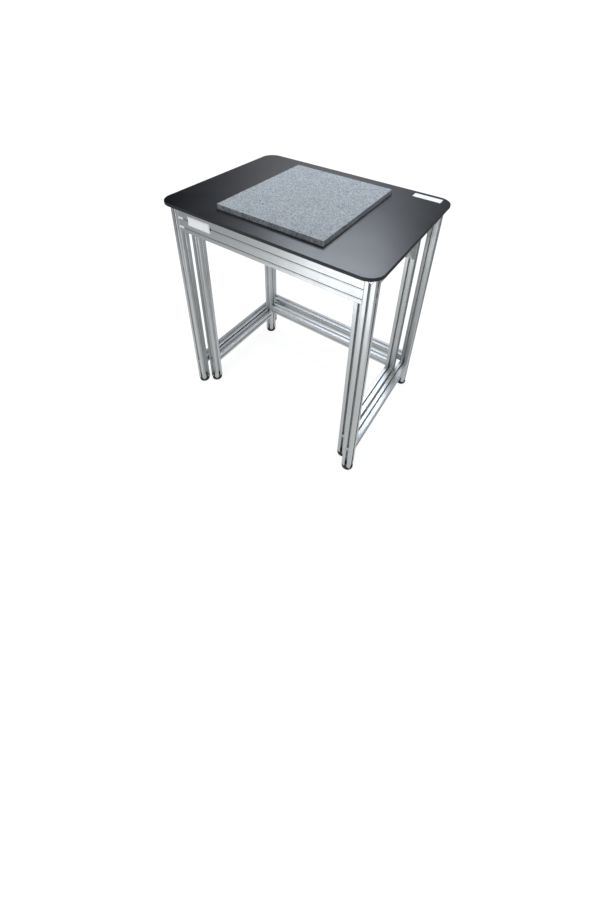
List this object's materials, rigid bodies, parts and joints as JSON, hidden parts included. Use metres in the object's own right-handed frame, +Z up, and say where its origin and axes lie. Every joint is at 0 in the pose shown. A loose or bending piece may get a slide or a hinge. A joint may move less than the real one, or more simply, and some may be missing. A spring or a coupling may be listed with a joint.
{
  "type": "weighing balance table",
  "caption": "Aluminium-profile weighing table with a stone slab in a cut-out of the top, carried by a separate inner stand on its own levelling feet.",
  "frame": {"origin": "on the floor, under the middle of the tabletop", "axes": "+X to the right of a person who sits at the table, +Y away from them, +Z up"},
  "size_m": [0.714, 0.536, 0.795],
  "materials": {
    "anodised_aluminium": "natural anodised, fine extrusion lines, satin",
    "cast_aluminium": "die-cast, blasted, matt",
    "zinc_plated_steel": "bright zinc plated",
    "compact_board": "black compact laminate, fine satin texture",
    "granite": "grey fine-grained granite, flamed top, sawn sides",
    "black_nylon": "moulded glass-filled nylon, black",
    "natural_nylon": "moulded nylon in its natural white",
    "pad_rubber": "soft black rubber",
    "blank_plate": "white film plate, blank"
  },
  "bodies": {
    "table_frame": {"apron_slot_stops": "natural_nylon", "apron_slot_strips": "anodised_aluminium", "back_apron": "anodised_aluminium", "front_apron": "anodised_aluminium", "front_plate": "blank_plate", "outer_cross_bolts": "zinc_plated_steel", "outer_leg_back_left": "anodised_aluminium", "outer_leg_back_right": "anodised_aluminium", "outer_leg_caps": "black_nylon", "outer_leg_front_left": "anodised_aluminium", "outer_leg_front_right": "anodised_aluminium", "outer_lower_rail_back": "anodised_aluminium", "outer_lower_rail_left": "anodised_aluminium", "outer_lower_rail_right": "anodised_aluminium", "outer_side_bolts": "zinc_plated_steel", "outer_top_rail_left": "anodised_aluminium", "outer_top_rail_right": "anodised_aluminium", "tabletop": "compact_board", "tabletop_screws": "zinc_plated_steel", "top_plate": "blank_plate"},
    "weighing_stand": {"gusset_brackets": "cast_aluminium", "gusset_screws": "zinc_plated_steel", "gusset_slot_nuts": "zinc_plated_steel", "isolation_pads": "pad_rubber", "stand_cross_bolts": "zinc_plated_steel", "stand_leg_back_left": "anodised_aluminium", "stand_leg_back_right": "anodised_aluminium", "stand_leg_caps": "black_nylon", "stand_leg_front_left": "anodised_aluminium", "stand_leg_front_right": "anodised_aluminium", "stand_lower_rail_back": "anodised_aluminium", "stand_lower_rail_left": "anodised_aluminium", "stand_lower_rail_right": "anodised_aluminium", "stand_side_bolts": "zinc_plated_steel", "stand_top_rail_back": "anodised_aluminium", "stand_top_rail_front": "anodised_aluminium", "stand_top_rail_left": "anodised_aluminium", "stand_top_rail_right": "anodised_aluminium"},
    "slab": {"weighing_slab": "granite"},
    "outer_foot_front_left": {"outer_foot_front_left": "black_nylon", "outer_stud_front_left": "zinc_plated_steel"},
    "outer_foot_front_right": {"outer_foot_front_right": "black_nylon", "outer_stud_front_right": "zinc_plated_steel"},
    "outer_foot_back_left": {"outer_foot_back_left": "black_nylon", "outer_stud_back_left": "zinc_plated_steel"},
    "outer_foot_back_right": {"outer_foot_back_right": "black_nylon", "outer_stud_back_right": "zinc_plated_steel"},
    "stand_foot_front_left": {"stand_foot_front_left": "black_nylon", "stand_stud_front_left": "zinc_plated_steel"},
    "stand_foot_front_right": {"stand_foot_front_right": "black_nylon", "stand_stud_front_right": "zinc_plated_steel"},
    "stand_foot_back_left": {"stand_foot_back_left": "black_nylon", "stand_stud_back_left": "zinc_plated_steel"},
    "stand_foot_back_right": {"stand_foot_back_right": "black_nylon", "stand_stud_back_right": "zinc_plated_steel"}
  },
  "joints": [
    {"name": "stand_level", "type": "slide", "parent": "table_frame", "child": "weighing_stand", "axis": [0, 0, 1], "range_m": [0, 0.006]},
    {"name": "slab_lift", "type": "slide", "parent": "weighing_stand", "child": "slab", "axis": [0, 0, 1], "range_m": [0, 0.06]},
    {"name": "outer_foot_front_left_level", "type": "slide", "parent": "table_frame", "child": "outer_foot_front_left", "axis": [0, 0, -1], "range_m": [0, 0.01]},
    {"name": "outer_foot_front_right_level", "type": "slide", "parent": "table_frame", "child": "outer_foot_front_right", "axis": [0, 0, -1], "range_m": [0, 0.01]},
    {"name": "outer_foot_back_left_level", "type": "slide", "parent": "table_frame", "child": "outer_foot_back_left", "axis": [0, 0, -1], "range_m": [0, 0.01]},
    {"name": "outer_foot_back_right_level", "type": "slide", "parent": "table_frame", "child": "outer_foot_back_right", "axis": [0, 0, -1], "range_m": [0, 0.01]},
    {"name": "stand_foot_front_left_level", "type": "slide", "parent": "weighing_stand", "child": "stand_foot_front_left", "axis": [0, 0, -1], "range_m": [0, 0.01]},
    {"name": "stand_foot_front_right_level", "type": "slide", "parent": "weighing_stand", "child": "stand_foot_front_right", "axis": [0, 0, -1], "range_m": [0, 0.01]},
    {"name": "stand_foot_back_left_level", "type": "slide", "parent": "weighing_stand", "child": "stand_foot_back_left", "axis": [0, 0, -1], "range_m": [0, 0.01]},
    {"name": "stand_foot_back_right_level", "type": "slide", "parent": "weighing_stand", "child": "stand_foot_back_right", "axis": [0, 0, -1], "range_m": [0, 0.01]}
  ]
}
